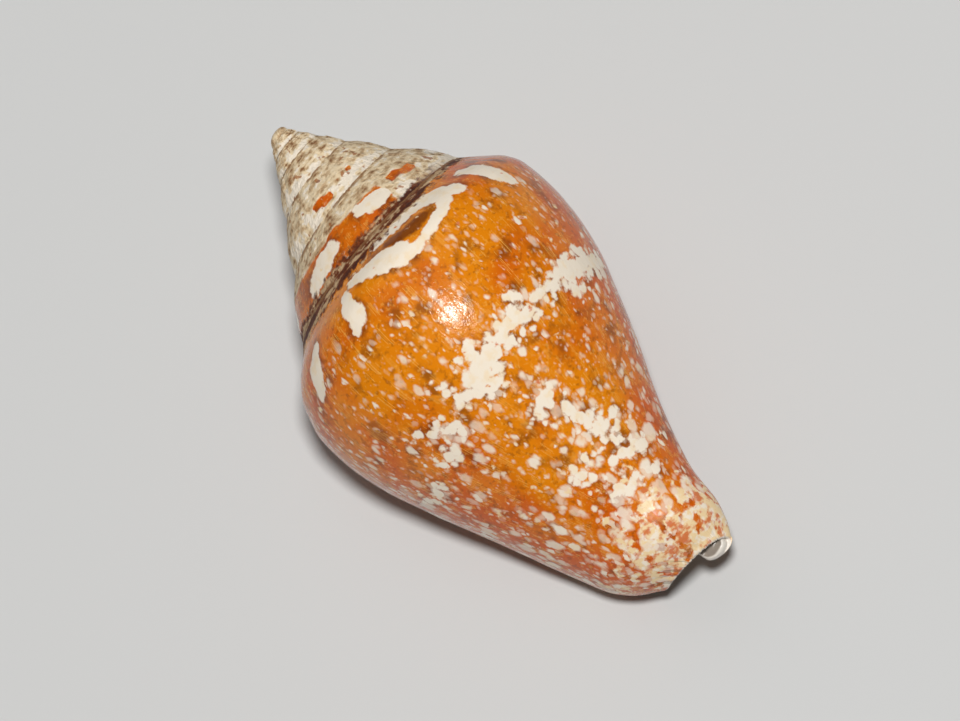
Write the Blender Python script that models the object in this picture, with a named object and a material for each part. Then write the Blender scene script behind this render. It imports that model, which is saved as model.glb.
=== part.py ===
"""A dove shell: one coiled, right-handed sea-snail shell that lies on its opening.

The shell is a sheet rolled round an axis. "turn" counts whole turns from the outer lip (0 at the lip, -1 one
turn earlier), "down" is the distance from the tip of the spire along the axis and "radius" the distance from
the axis, both in millimetres. A "share" runs from 0 at a whorl's seam to 1 at the front end of the shell, and
"along" runs in the same way down the opening.
"""

import math
from collections import namedtuple

import bmesh
import bpy
import numpy as np
from mathutils import Matrix

MM = 0.001

# Mesh steps.
COLUMNS_PER_TURN = 30
SPIRE_ROWS = 4
ROOT_ROWS = 2
OPENING_ROWS = 40
EDGE_STEPS = 4
DOME_STEPS = 3
WELD_MM = 0.001

# Seam: where each whorl meets the one before it, as (turn, down), and the cone that it winds round.
SEAM_DOWN = ((-1.36, 3.50), (-1.0, 4.16), (-0.61, 4.87), (-0.36, 5.31), (-0.11, 5.66), (0.0, 5.76))
EARLY_GROWTH = 1.55
EARLY_LIFT = 0.42
FIRST_TURN = -5.8
TIP_RADIUS = 0.23
CONE_SLOPE = 0.60
CONE_FLARE = 0.018
WHORL_BULGE = 0.06

# Body whorl: (share, radius) below its seam, one turn before the lip, at its right side and at the lip.
SIDE_TURN = -0.61
PARIETAL_PROFILE = (
    (0.15, 4.44), (0.25, 4.25), (0.35, 3.85), (0.45, 3.30), (0.555, 2.60),
    (0.66, 1.86), (0.76, 1.24), (0.85, 0.84), (0.925, 0.66), (1.0, 0.50),
)
SIDE_PROFILE = (
    (0.042, 4.26), (0.076, 4.74), (0.11, 4.96), (0.186, 5.05), (0.254, 4.99), (0.35, 4.69), (0.446, 4.11),
    (0.555, 3.37), (0.658, 2.55), (0.76, 1.85), (0.849, 1.36), (0.92, 1.17), (0.97, 0.88), (1.0, 0.60),
)
LIP_PROFILE = (
    (0.03, 4.56), (0.065, 5.16), (0.11, 5.70), (0.19, 6.12), (0.27, 6.08), (0.37, 5.88), (0.48, 5.54),
    (0.59, 5.14), (0.70, 4.82), (0.82, 4.44), (0.90, 4.06), (0.96, 3.52), (1.0, 2.86),
)
SEAM_FADE = 0.16
SPIRE_FADE_TURNS = 0.30

# Front end: (turn, down) of its edge, the tip of the pillar that stands past it and the bend of both.
FRONT_EDGE = ((-1.0, 19.70), (-0.61, 19.78), (-0.45, 19.52), (-0.20, 19.42), (-0.08, 19.34), (0.0, 19.10))
SHELL_LENGTH = 20.0
BEND = 0.62
BEND_FROM_DOWN = 9.0
BEND_POWER = 1.5

# Opening: how far it runs back into the shell and the walls round it, as (along, thickness) at the lip.
OPENING_TURNS = 0.6
OPENING_TOP = 0.045
LIP_WALL = ((0.0, 0.40), (0.15, 0.75), (0.38, 1.08), (0.55, 1.25), (0.70, 1.02), (0.86, 0.56), (1.0, 0.32))
LIP_DEPTH = 0.07
INNER_WALL = 0.55
FRONT_WALL = 0.30
FRONT_WALL_FROM = 0.85
LEAST_GAP = 0.25
CLOSING_TURNS = 0.20
OPENING_RISE = 0.10
EDGE_ROUNDING = 0.32
CORNER_SHARE = 0.10
CORNER_COLUMNS = 4

# Small ridges across the opening's edge, each two mesh rows wide: teeth inside the lip, folds on the pillar.
Ridges = namedtuple("Ridges", "first_row count height turn reach")
TEETH = Ridges(first_row=5, count=12, height=0.22, turn=-0.034, reach=0.020)
FOLDS = Ridges(first_row=21, count=7, height=0.14, turn=-0.010, reach=0.045)

# How it lies: spun about its own axis and tipped forward, with worn flats where it touches the ground.
SPIN_DEG = -133.8
TIP_DEG = 9.7
WORN_FLAT = 0.06

SHELL_COLOUR = (0.78, 0.38, 0.12, 1.0)
SHELL_ROUGHNESS = 0.28
SMOOTH_UP_TO_DEG = 65.0

TOWARDS_FRONT = np.array([0.0, 0.0, -1.0])
TOWARDS_LIP = np.array([0.0, -1.0, 0.0])
TOWARDS_CORNER = (TOWARDS_FRONT + TOWARDS_LIP) / math.sqrt(2)


def curve_through(points):
    """A smooth curve through (x, y) points that doesn't overshoot between them."""
    xs, ys = np.array(points, float).T
    steps = np.diff(xs)
    rises = np.diff(ys) / steps
    same_way = rises[:-1] * rises[1:] > 0
    total = np.where(same_way, rises[:-1] + rises[1:], 1.0)
    inner = np.where(same_way, 2 * rises[:-1] * rises[1:] / total, 0.0)
    slopes = np.concatenate([rises[:1], inner, rises[-1:]])

    def value(x):
        x = np.clip(x, xs[0], xs[-1])
        i = np.clip(np.searchsorted(xs, x, side="right") - 1, 0, len(steps) - 1)
        u = (x - xs[i]) / steps[i]
        start = ys[i] * (1 + 2 * u) + slopes[i] * steps[i] * u
        end = ys[i + 1] * (3 - 2 * u) - slopes[i + 1] * steps[i] * (1 - u)
        return start * (1 - u) ** 2 + end * u**2

    return value


def smooth(x):
    """Rises from 0 to 1 as x does, level at both ends."""
    x = np.clip(x, 0.0, 1.0)
    return x * x * (3 - 2 * x)


late_seam = curve_through(SEAM_DOWN)
front_edge = curve_through(FRONT_EDGE)
lip_wall = curve_through(LIP_WALL)


def seam_down(turn):
    """A growing spiral at first, and the measured seam over the last turns."""
    first_turn, first_down = SEAM_DOWN[0]
    growth = EARLY_GROWTH ** (np.minimum(turn, first_turn) - first_turn)
    return np.where(turn < first_turn, (first_down + EARLY_LIFT) * growth - EARLY_LIFT, late_seam(turn))


def seam_radius(turn):
    down = seam_down(turn)
    return TIP_RADIUS + CONE_SLOPE * down + CONE_FLARE * down**2


def whorl_profile(turn, below_seam):
    return curve_through(((0.0, float(seam_radius(turn))),) + below_seam)


# Share of the way down at which the lip's seam crosses the whorl one turn before it.
SEAM_SHARE = float((seam_down(0.0) - seam_down(-1.0)) / (front_edge(-1.0) - seam_down(-1.0)))

parietal_radius = whorl_profile(-1.0, ((SEAM_SHARE, float(seam_radius(0.0))),) + PARIETAL_PROFILE)
side_radius = whorl_profile(SIDE_TURN, SIDE_PROFILE)
lip_radius = whorl_profile(0.0, LIP_PROFILE)


def spire_whorl(turn, across):
    """(radius, down) on a spire whorl, across running from its upper seam (0) to its lower one (1)."""
    top_r, top_d = seam_radius(turn), seam_down(turn)
    run_r, run_d = seam_radius(turn + 1) - top_r, seam_down(turn + 1) - top_d
    bulge = WHORL_BULGE * np.sin(math.pi * across)
    return top_r + across * run_r + bulge * run_d, top_d + across * run_d - bulge * run_r


def body_radius(turn, share):
    """The body whorl's radius: its three profiles joined by a smooth curve round the shell."""
    parietal, side, lip = (np.log(curve(share)) for curve in (parietal_radius, side_radius, lip_radius))
    parietal_part = (turn - SIDE_TURN) * turn / (1 + SIDE_TURN)
    side_part = (turn + 1) * turn / ((SIDE_TURN + 1) * SIDE_TURN)
    lip_part = (turn + 1) * (turn - SIDE_TURN) / -SIDE_TURN
    return np.exp(parietal_part * parietal + side_part * side + lip_part * lip)


def body_whorl(turn, share):
    """(radius, down) of the outer face over the last turn, which starts with the spire's last section."""
    top = seam_down(turn)
    down = top + share * (front_edge(turn) - top)
    at_seam = seam_radius(turn) - body_radius(turn, np.zeros_like(share))
    radius = body_radius(turn, share) + at_seam * (1 - smooth(share / SEAM_FADE))
    spire_r, spire_d = spire_whorl(-1.0, np.minimum(share / SEAM_SHARE, 1.0))
    flat_r, flat_d = body_radius(-1.0, share), seam_down(-1.0) + share * (front_edge(-1.0) - seam_down(-1.0))
    still_spire = (share < SEAM_SHARE) * (1 - smooth((turn + 1) / SPIRE_FADE_TURNS))
    return radius + (spire_r - flat_r) * still_spire, down + (spire_d - flat_d) * still_spire


def ridge_height(ridges, turn, along):
    """Height of a row of small ridges, tallest in the middle of the row."""
    mesh_row = (along - OPENING_TOP) / (1 - OPENING_TOP) * OPENING_ROWS
    through = np.clip((mesh_row - ridges.first_row) / (2 * ridges.count), 0, 1)
    lengthwise = np.sin(math.pi * ridges.count * through) ** 2 * np.sin(math.pi * through) ** 0.5
    return ridges.height * lengthwise * np.exp(-(((turn - ridges.turn) / ridges.reach) ** 2))


def opening_floor(turn, along):
    """(radius, down) of the whorl before, where the body whorl covers it at this turn."""
    scale = seam_radius(turn) / seam_radius(0.0)
    share = SEAM_SHARE + (1 - SEAM_SHARE) * along
    top = seam_down(turn)
    radius = parietal_radius(share) * scale + ridge_height(FOLDS, turn, along)
    return radius, top + along * (front_edge(-1.0) - top)


def opening_roof(turn, along):
    """(radius, down) of the inner face of the body whorl, which closes on the floor at the opening's end."""
    floor_r, floor_d = opening_floor(turn, along)
    outer_r, outer_d = body_whorl(turn, along)
    gap_r, gap_d = outer_r - floor_r, outer_d - floor_d
    at_lip = np.exp(-((turn / LIP_DEPTH) ** 2))
    wall = INNER_WALL + (lip_wall(along) - INNER_WALL) * at_lip
    wall = wall + (FRONT_WALL - wall) * smooth((along - FRONT_WALL_FROM) / (1 - FRONT_WALL_FROM))
    wall = wall + ridge_height(TEETH, turn, along)
    reach = np.clip(1 - wall / np.hypot(gap_r, gap_d), LEAST_GAP, 1)
    opened = smooth(np.minimum((along - OPENING_TOP) / OPENING_RISE, (turn + OPENING_TURNS) / CLOSING_TURNS))
    return floor_r + gap_r * reach * opened, floor_d + gap_d * reach * opened


def placed(turn, radius_and_down):
    """Points in the shell's own frame: its axis along Z with the spire up, coiling right-handed."""
    turn, radius, down = np.broadcast_arrays(turn, *radius_and_down)
    angle = -2 * math.pi * turn
    side_angle = -2 * math.pi * SIDE_TURN
    past = np.maximum(down - BEND_FROM_DOWN, 0) / (SHELL_LENGTH - BEND_FROM_DOWN)
    bend = BEND * past**BEND_POWER
    x = radius * np.cos(angle) + bend * math.cos(side_angle)
    y = radius * np.sin(angle) + bend * math.sin(side_angle)
    return np.stack([x, y, -down], axis=-1)


def rounded_edge(outer, inner, push):
    """Lines from an outer edge to an inner one, swelling along push between them."""
    shares = np.linspace(0, 1, EDGE_STEPS + 1)[:, None, None]
    wall = np.linalg.norm(inner - outer, axis=-1, keepdims=True)
    return outer + (inner - outer) * shares + push * wall * EDGE_ROUNDING * np.sin(math.pi * shares)


def with_points(line, count):
    """The same line with another number of points."""
    old, new = np.linspace(0, 1, len(line)), np.linspace(0, 1, count)
    return np.stack([np.interp(new, old, line[:, axis]) for axis in range(3)], axis=-1)


def turning_push(start, end, amount):
    """Unit directions that turn from start to end as amount rises from 0 to 1."""
    direction = start + (end - start) * amount[:, None]
    return direction / np.linalg.norm(direction, axis=-1, keepdims=True)


def add_grid(bm, points):
    verts = [[bm.verts.new(point) for point in line] for line in points]
    for line, after in zip(verts, verts[1:]):
        for a, b, c, d in zip(line, line[1:], after[1:], after):
            bm.faces.new((a, b, d))
            bm.faces.new((b, c, d))


def add_zip(bm, first, second):
    """A strip of triangles between two lines with different numbers of points."""
    first = [bm.verts.new(point) for point in first]
    second = [bm.verts.new(point) for point in second]
    i, j = 0, 0
    while i + 1 < len(first) or j + 1 < len(second):
        step_first = (i + 1) * (len(second) - 1) <= (j + 1) * (len(first) - 1)
        if step_first:
            bm.faces.new((first[i], first[i + 1], second[j]))
            i += 1
        else:
            bm.faces.new((first[i], second[j + 1], second[j]))
            j += 1


def add_dome(bm, loop, top):
    """A rounded cap over a closed loop of points, reaching out to a top point."""
    loop = np.concatenate([loop, loop[:1]])
    middle = loop.mean(axis=0)
    angles = np.linspace(math.pi / 2, 0, DOME_STEPS + 1)[:, None, None]
    add_grid(bm, middle + (loop - middle) * np.sin(angles) + (np.array(top) - middle) * np.cos(angles))


def add_surfaces(bm):
    """Every face of the shell, as grids that share the points along their edges."""
    along_rows = OPENING_TOP + (1 - OPENING_TOP) * np.linspace(0, 1, OPENING_ROWS + 1)
    below_seam = np.concatenate([np.linspace(0, OPENING_TOP, ROOT_ROWS, endpoint=False), along_rows])
    across = np.linspace(0, 1, SPIRE_ROWS + 1)
    first_column = round(FIRST_TURN * COLUMNS_PER_TURN)
    spire_turns = np.arange(first_column, 1 - COLUMNS_PER_TURN)[:, None] / COLUMNS_PER_TURN
    spire = placed(spire_turns, spire_whorl(spire_turns, across[None]))

    body_turns = np.arange(-COLUMNS_PER_TURN, 1)[:, None] / COLUMNS_PER_TURN
    first_shares = np.concatenate([across[:-1] * SEAM_SHARE, SEAM_SHARE + (1 - SEAM_SHARE) * below_seam])
    last_shares = np.interp(
        np.linspace(0, 1, len(first_shares)), np.linspace(0, 1, len(below_seam)), below_seam
    )
    shares = first_shares + (last_shares - first_shares) * smooth(body_turns + 1)
    body = placed(body_turns, body_whorl(body_turns, shares))

    inner_turns = np.arange(0, -round(OPENING_TURNS * COLUMNS_PER_TURN) - 1, -1)[:, None] / COLUMNS_PER_TURN
    floor = placed(inner_turns, opening_floor(inner_turns, along_rows[None]))
    roof = placed(inner_turns, opening_roof(inner_turns, along_rows[None]))
    roof[:, 0], roof[-1] = floor[:, 0], floor[-1]
    body[0, : SPIRE_ROWS + 1] = spire[-1]
    body[0, SPIRE_ROWS + ROOT_ROWS :] = floor[0]
    for surface in (spire, body, floor, roof):
        add_grid(bm, surface)

    # The lip, from the outer face to the opening's roof.
    lip_inner = np.concatenate([body[0, SPIRE_ROWS : SPIRE_ROWS + ROOT_ROWS], roof[0]])
    near_corner = smooth((last_shares - 1 + CORNER_SHARE) / CORNER_SHARE)
    push = turning_push(TOWARDS_LIP, TOWARDS_CORNER, near_corner)
    lip = rounded_edge(body[-1], with_points(lip_inner, len(body[-1])), push)
    add_grid(bm, lip[:-1])
    add_zip(bm, lip[-2], lip_inner)

    # The front edge, from the lip's corner back to the end of the opening.
    outer_front = body[: -len(inner_turns) - 1 : -1, -1]
    near_corner = 1 - smooth(np.arange(len(inner_turns)) / CORNER_COLUMNS)
    front = rounded_edge(outer_front, roof[:, -1], turning_push(TOWARDS_FRONT, TOWARDS_CORNER, near_corner))
    add_grid(bm, front)

    # The tip of the pillar and the tip of the spire.
    pillar_loop = np.concatenate([body[-len(inner_turns) : 0 : -1, -1], floor[:, -1], front[-2:0:-1, -1]])
    add_dome(bm, pillar_loop, (*pillar_loop.mean(axis=0)[:2], -SHELL_LENGTH))
    spire_loop = np.concatenate([spire[: COLUMNS_PER_TURN + 1, 0], spire[0, -2:0:-1]])
    add_dome(bm, spire_loop, (0.0, 0.0, 0.0))


def make_shell():
    bm = bmesh.new()
    add_surfaces(bm)
    bmesh.ops.remove_doubles(bm, verts=bm.verts, dist=WELD_MM)
    bmesh.ops.dissolve_degenerate(bm, edges=bm.edges, dist=WELD_MM / 10)
    bmesh.ops.triangulate(bm, faces=bm.faces)
    bmesh.ops.recalc_face_normals(bm, faces=bm.faces)
    return bm


def lay_down(bm):
    """Lays the shell on its opening, front end towards +X, and wears flats where it touches the ground."""
    tipped = Matrix.Rotation(math.radians(TIP_DEG - 90), 4, "Y")
    spun = Matrix.Rotation(math.radians(SPIN_DEG), 4, "Z")
    bmesh.ops.transform(bm, matrix=tipped @ spun, verts=bm.verts)
    ground = min(vert.co.z for vert in bm.verts) + WORN_FLAT
    everything = bm.verts[:] + bm.edges[:] + bm.faces[:]
    cut = bmesh.ops.bisect_plane(
        bm, geom=everything, dist=WELD_MM, plane_co=(0, 0, ground), plane_no=(0, 0, 1), clear_inner=True
    )
    rims = [item for item in cut["geom_cut"] if isinstance(item, bmesh.types.BMEdge)]
    bmesh.ops.holes_fill(bm, edges=rims)
    bmesh.ops.triangulate(bm, faces=bm.faces)
    bmesh.ops.recalc_face_normals(bm, faces=bm.faces)


def shell_material():
    material = bpy.data.materials.new("shell")
    material.use_nodes = True
    surface = material.node_tree.nodes["Principled BSDF"]
    surface.inputs["Base Color"].default_value = SHELL_COLOUR
    surface.inputs["Roughness"].default_value = SHELL_ROUGHNESS
    surface.inputs["Metallic"].default_value = 0.0
    return material


def main():
    for thing in list(bpy.data.objects):
        bpy.data.objects.remove(thing)
    bm = make_shell()
    lay_down(bm)
    bmesh.ops.scale(bm, vec=(MM, MM, MM), verts=bm.verts)
    mesh = bpy.data.meshes.new("shell")
    bm.to_mesh(mesh)
    bm.free()
    mesh.shade_smooth()
    mesh.set_sharp_from_angle(angle=math.radians(SMOOTH_UP_TO_DEG))
    mesh.materials.append(shell_material())
    shell = bpy.data.objects.new("shell", mesh)
    bpy.context.collection.objects.link(shell)

    # The origin is at the middle of the shell's box, on the ground.
    corners = np.array(shell.bound_box)
    low, high = corners.min(axis=0), corners.max(axis=0)
    shell.location = (-(low[0] + high[0]) / 2, -(low[1] + high[1]) / 2, -low[2])


main()
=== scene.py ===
"""The looks of a dove shell: its coiled sheet at a fine step, the relief on it and its glazed skin.

Along the shell, "turn" counts whole turns from the outer lip (0 at the lip, -1 one turn earlier). A "share"
runs from 0 at a whorl's seam to 1 at the front end, and "down" is the distance from the tip of the spire
along the axis. The sheet is worked out in millimetres in the shell's own frame and laid down on the frame's
box. In the skin, a pair of values says where a mask starts to show and where it is full, and a third value
says how strong it then is.
"""

import math
from collections import namedtuple

import bmesh
import bpy
import numpy as np
from mathutils import Euler, Matrix, Vector


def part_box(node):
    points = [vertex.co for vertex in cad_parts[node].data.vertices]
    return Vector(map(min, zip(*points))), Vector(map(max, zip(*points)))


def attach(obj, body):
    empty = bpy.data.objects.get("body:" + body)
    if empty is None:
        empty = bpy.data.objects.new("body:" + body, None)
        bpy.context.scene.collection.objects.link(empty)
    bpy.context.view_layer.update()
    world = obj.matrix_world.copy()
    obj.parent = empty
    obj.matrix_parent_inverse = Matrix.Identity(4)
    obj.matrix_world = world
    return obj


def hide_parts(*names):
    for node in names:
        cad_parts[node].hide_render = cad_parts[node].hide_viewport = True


bl_info = {
    "name": "Dove shell",
    "version": (1, 0, 0),
    "blender": (4, 5, 0),
    "location": "View3D > Sidebar > Dove shell",
    "description": "Builds the looks of a small glazed sea-snail shell",
    "category": "Object",
}

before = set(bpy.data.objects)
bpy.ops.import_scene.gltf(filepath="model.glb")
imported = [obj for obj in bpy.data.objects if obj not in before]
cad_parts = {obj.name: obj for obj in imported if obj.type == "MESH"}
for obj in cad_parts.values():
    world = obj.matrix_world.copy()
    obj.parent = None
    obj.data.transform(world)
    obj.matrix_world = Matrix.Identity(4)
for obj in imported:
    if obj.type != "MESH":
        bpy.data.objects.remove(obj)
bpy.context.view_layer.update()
SHELL_LOW, SHELL_HIGH = (Vector(corner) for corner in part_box("shell"))
MM = 0.001

# Mesh steps.
COLUMNS_PER_TURN = 240
SPIRE_ROWS = 12
ROOT_ROWS = 6
OPENING_ROWS = 124
EDGE_STEPS = 8
DOME_STEPS = 6
WELD_MM = 0.0002

# Seam: where each whorl meets the one before it, as (turn, down), and the cone that it winds round.
SEAM_DOWN = ((-1.36, 3.50), (-1.0, 4.16), (-0.61, 4.87), (-0.36, 5.31), (-0.11, 5.66), (0.0, 5.76))
EARLY_GROWTH = 1.55
EARLY_LIFT = 0.42
FIRST_TURN = -5.8
TIP_RADIUS = 0.23
CONE_SLOPE = 0.60
CONE_FLARE = 0.018
WHORL_BULGE = 0.06

# Body whorl: (share, radius) below its seam, one turn before the lip, at its right side and at the lip.
SIDE_TURN = -0.61
PARIETAL_PROFILE = (
    (0.15, 4.44), (0.25, 4.25), (0.35, 3.85), (0.45, 3.30), (0.555, 2.60),
    (0.66, 1.86), (0.76, 1.24), (0.85, 0.84), (0.925, 0.66), (1.0, 0.50),
)
SIDE_PROFILE = (
    (0.042, 4.26), (0.076, 4.74), (0.11, 4.96), (0.186, 5.05), (0.254, 4.99), (0.35, 4.69), (0.446, 4.11),
    (0.555, 3.37), (0.658, 2.55), (0.76, 1.85), (0.849, 1.36), (0.92, 1.17), (0.97, 0.88), (1.0, 0.60),
)
LIP_PROFILE = (
    (0.03, 4.56), (0.065, 5.16), (0.11, 5.70), (0.19, 6.12), (0.27, 6.08), (0.37, 5.88), (0.48, 5.54),
    (0.59, 5.14), (0.70, 4.82), (0.82, 4.44), (0.90, 4.06), (0.96, 3.52), (1.0, 2.86),
)
SEAM_FADE = 0.16
SPIRE_FADE_TURNS = 0.30

# Front end: (turn, down) of its edge, the tip of the pillar that stands past it and the bend of both.
FRONT_EDGE = ((-1.0, 19.70), (-0.61, 19.78), (-0.45, 19.52), (-0.20, 19.42), (-0.08, 19.34), (0.0, 19.10))
SHELL_LENGTH = 20.0
BEND = 0.62
BEND_FROM_DOWN = 9.0
BEND_POWER = 1.5

# Opening: how far it runs back into the shell and the walls round it, as (along, thickness) at the lip.
OPENING_TURNS = 0.6
OPENING_TOP = 0.045
LIP_WALL = ((0.0, 0.40), (0.15, 0.75), (0.38, 1.08), (0.55, 1.25), (0.70, 1.02), (0.86, 0.56), (1.0, 0.32))
LIP_DEPTH = 0.07
INNER_WALL = 0.55
FRONT_WALL = 0.30
FRONT_WALL_FROM = 0.85
LEAST_GAP = 0.25
CLOSING_TURNS = 0.20
OPENING_RISE = 0.10
EDGE_ROUNDING = 0.32
CORNER_SHARE = 0.10
CORNER_COLUMNS = 32
LINING_FADE_TURNS = 0.08

# How it lies: spun about its own axis and tipped forward, with worn flats where it touches the ground.
SPIN_DEG = -133.8
TIP_DEG = 9.7
WORN_FLAT = 0.06

TOWARDS_FRONT = np.array([0.0, 0.0, -1.0])
TOWARDS_LIP = np.array([0.0, -1.0, 0.0])
TOWARDS_CORNER = (TOWARDS_FRONT + TOWARDS_LIP) / math.sqrt(2)

# Each point of the sheet is a row of numbers: its place, turn and share, and 1 where it is lining, not skin.
PLACE = slice(0, 3)
TURN, SHARE, LINING = 3, 4, 5

# Marks on the skin. Each is a stroke of (degrees back from the lip, mm below the seam, half width in mm).
FLAMES = (
    (
        (125, 0.45, 0.10), (135, 0.50, 0.20), (145, 0.52, 0.26), (153, 0.60, 0.34), (159, 0.82, 0.36),
        (165, 1.15, 0.24),
    ),
    ((158, 1.0, 0.28), (153, 1.35, 0.19), (146, 1.5, 0.14), (139, 1.65, 0.15), (134, 1.7, 0.10)),
    (
        (109, 0.72, 0.14), (115, 0.82, 0.24), (121, 0.98, 0.34), (126, 1.15, 0.42), (131, 1.38, 0.40),
        (134, 1.55, 0.22),
    ),
    ((105, 0.85, 0.14), (104, 1.25, 0.32), (105, 1.6, 0.34), (102, 1.95, 0.18)),
    ((81, 1.1, 0.18), (76, 1.5, 0.34), (73, 1.9, 0.32), (70, 2.2, 0.14)),
    ((176, 0.75, 0.22), (180, 1.0, 0.36), (182, 1.5, 0.36), (185, 2.0, 0.22)),
    ((214, 0.9, 0.26), (222, 1.3, 0.38), (231, 1.6, 0.26)),
    ((256, 0.7, 0.20), (263, 1.1, 0.36), (262, 1.7, 0.26)),
    ((292, 0.9, 0.28), (300, 1.5, 0.38), (309, 1.7, 0.24)),
    ((338, 0.8, 0.24), (344, 1.3, 0.34)),
    ((38, 1.2, 0.26), (33, 1.7, 0.34), (27, 2.2, 0.22)),
)
PATCHES = (
    ((203, 5.75, 0.28), (189, 5.55, 0.42), (174, 5.45, 0.42), (176, 5.95, 0.30)),
    ((172, 5.4, 0.30), (164, 5.45, 0.20), (155, 5.5, 0.24), (146, 5.55, 0.40), (138, 5.5, 0.30)),
    ((147, 5.1, 0.20), (152, 4.9, 0.10)),
    ((135, 5.6, 0.40), (128, 5.7, 0.52), (121, 5.8, 0.56), (116, 6.0, 0.42), (121, 6.3, 0.38)),
    ((125, 5.05, 0.20), (121, 5.3, 0.26)),
    ((107, 5.3, 0.26),),
    ((107, 5.9, 0.18), (112, 6.1, 0.16)),
    ((98, 6.4, 0.20), (93, 6.0, 0.28), (89, 5.9, 0.16)),
    ((88, 6.5, 0.28), (83, 6.7, 0.30)),
    ((86, 5.5, 0.18),),
    ((66, 6.8, 0.20), (60, 7.0, 0.26), (52, 6.5, 0.18)),
    ((131, 7.65, 0.26), (123, 7.95, 0.20)),
    ((132, 8.4, 0.26), (135, 8.9, 0.30), (138, 9.4, 0.28), (141, 9.9, 0.24)),
    ((151, 9.6, 0.24),),
    ((131, 10.6, 0.24), (137, 10.6, 0.22), (143, 10.65, 0.25)),
    ((154, 10.8, 0.17),),
    ((119, 10.0, 0.18),),
    ((106, 9.9, 0.20), (113, 10.25, 0.22)),
    ((147, 11.6, 0.18),),
    ((111, 11.15, 0.22), (118, 11.3, 0.24), (126, 11.4, 0.24)),
    ((228, 5.6, 0.40), (238, 5.9, 0.48), (249, 5.7, 0.30)),
    ((270, 5.5, 0.30), (280, 5.9, 0.46), (292, 6.1, 0.28)),
    ((316, 5.8, 0.42), (327, 6.2, 0.34)),
    ((350, 6.0, 0.36), (358, 6.3, 0.20)),
    ((25, 6.3, 0.30), (35, 6.9, 0.34)),
    ((240, 9.2, 0.28), (256, 9.7, 0.24)),
    ((300, 9.0, 0.26), (322, 9.6, 0.28)),
)
DARK_MARKS = (
    ((129, 0.75, 0.14), (135, 0.92, 0.24), (140, 1.02, 0.28), (147, 1.05, 0.22)),
    ((119, 1.28, 0.06), (124, 1.5, 0.08), (127, 1.75, 0.06)),
    ((191, 0.9, 0.10), (195, 1.35, 0.12)),
    ((238, 0.8, 0.14), (244, 1.0, 0.16)),
    ((277, 0.9, 0.12), (283, 1.1, 0.16)),
    ((322, 0.9, 0.14), (327, 1.1, 0.12)),
)
UPPER_WHORL_CREAM = (
    ((493, 0.98, 0.26), (500, 1.14, 0.36), (507, 1.22, 0.26)),
    ((446, 1.40, 0.22), (454, 1.25, 0.34), (461, 1.18, 0.36), (468, 1.10, 0.26)),
    ((560, 1.1, 0.22), (570, 1.1, 0.24)),
    ((620, 1.0, 0.20), (634, 1.0, 0.22)),
    ((400, 1.1, 0.20), (412, 1.2, 0.24)),
)
UPPER_WHORL_ORANGE = (
    ((471, 0.85, 0.16), (479, 1.05, 0.28), (486, 1.2, 0.30), (492, 1.3, 0.16)),
    ((430, 1.2, 0.24), (438, 1.25, 0.26), (444, 1.4, 0.16)),
    ((519, 0.98, 0.12), (526, 1.06, 0.15), (533, 1.14, 0.11)),
    ((831, 1.0, 0.10), (838, 1.06, 0.13), (845, 1.1, 0.09)),
    ((872, 0.92, 0.07),),
    ((590, 1.1, 0.22), (604, 1.1, 0.2)),
    ((650, 1.0, 0.22), (700, 1.0, 0.2)),
)
NO_MARK_MM = 2.0

# The hollow beside the pillar's end: a stroke of (place, half width) in the shell's own frame, where it
# faces, how deep it is pushed in and the turn that it lies before. The lip's shadow in it is painted shade.
HOLLOW = (
    ((-0.34, 0.22, -19.62), 0.26),
    ((-0.60, 0.14, -19.68), 0.33),
    ((-0.88, -0.06, -19.66), 0.28),
)
HOLLOW_FACING = np.array([-0.63, 0.75, -0.18])
HOLLOW_DEPTH = 0.22
HOLLOW_BEFORE_TURN = -0.7

# Where the glaze is worn off, as (last turn or share, fade before it): the spire, the upper part of its last
# whorl, the turns of that whorl, and a strip at the seam.
WORN_SPIRE = (-1.40, 0.03)
WORN_UPPER_PART = (0.6, 0.35)
WORN_UPPER_TURNS = (-0.95, 0.2)
WORN_SEAM = (0.022, 0.016)
GLAZE_MARGIN_MM = 0.1

# Relief: growth lines, crumbs on the worn spire, chips along the front edge and rows of ridges.
NOISE_MIDDLE = 0.5
SEED_STEP = 7.31
SEAM_FADE_SHARES = (0.0, 0.02)
GROWTH_SLANT = 1.5
GROWTH_GAIN = 2.0
GROWTH_DETAIL = 3.0
GROWTH_FADE_SHARES = (0.95, 0.70)
CRUMBS_PER_METRE = 3200.0
CRUMB_DETAIL = 3.0
CRUMB_MIDDLE = 0.6
CRUMB_GAIN = 3.0
CHIPS_PER_TURN = 34.0
CHIP_DETAIL = 1.0
CHIP_LEVELS = (0.4, 0.75)
CHIP_SHARES = (0.97, 1.0)
CHIP_FADE_TURNS = 0.15
LINED_LEVELS = (0.5, 1.0)
RidgeRow = namedtuple("RidgeRow", "height count middle_turn reach first_share last_share only_lined")
RIDGE_ROWS = (
    RidgeRow("Tooth height", "Teeth", -0.034, 0.020, 0.16, 0.74, only_lined=True),
    RidgeRow("Fold height", "Folds", -1.010, 0.045, 0.58, 0.92, only_lined=False),
)

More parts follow.
